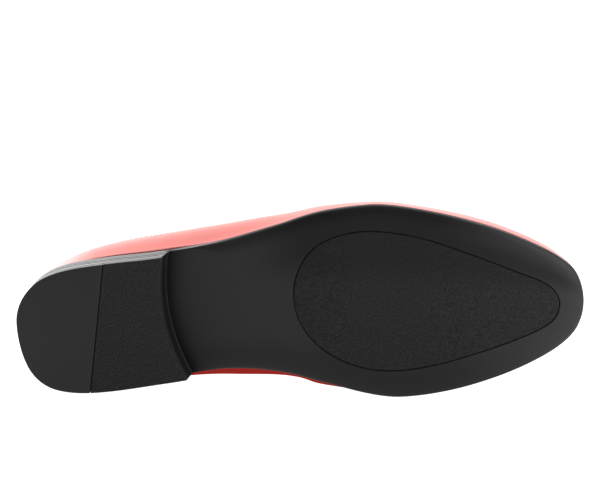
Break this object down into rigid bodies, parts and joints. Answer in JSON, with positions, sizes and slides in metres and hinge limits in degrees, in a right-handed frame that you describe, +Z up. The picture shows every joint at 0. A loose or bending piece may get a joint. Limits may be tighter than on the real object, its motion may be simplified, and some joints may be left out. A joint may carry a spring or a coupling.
{
  "type": "slip-on shoe",
  "caption": "Right slip-on dress shoe with a smooth leather upper, an arched rubber sole with a tread pad and a block heel, lying on its side.",
  "frame": {"origin": "middle of the bounding box's bottom, on the floor that the shoe lies on", "axes": "+X from heel to toe, -Y the way the sole faces, +Z up, with the lateral side of the shoe on top"},
  "size_m": [0.3028, 0.083, 0.1037],
  "materials": {
    "sole_rubber": "smooth black rubber, satin",
    "tread_rubber": "black rubber with a fine matte grain",
    "heel_rubber": "black rubber with fine stacked lines, satin",
    "upper_leather": "smooth red leather with a soft gloss",
    "insole_leather": "plain natural leather, matte"
  },
  "bodies": {
    "root": {"outsole": "sole_rubber", "forefoot_pad": "tread_rubber", "heel_block": "heel_rubber", "heel_lift_rear": "sole_rubber", "heel_lift_front": "tread_rubber", "upper": "upper_leather", "insole": "insole_leather"}
  },
  "joints": []
}
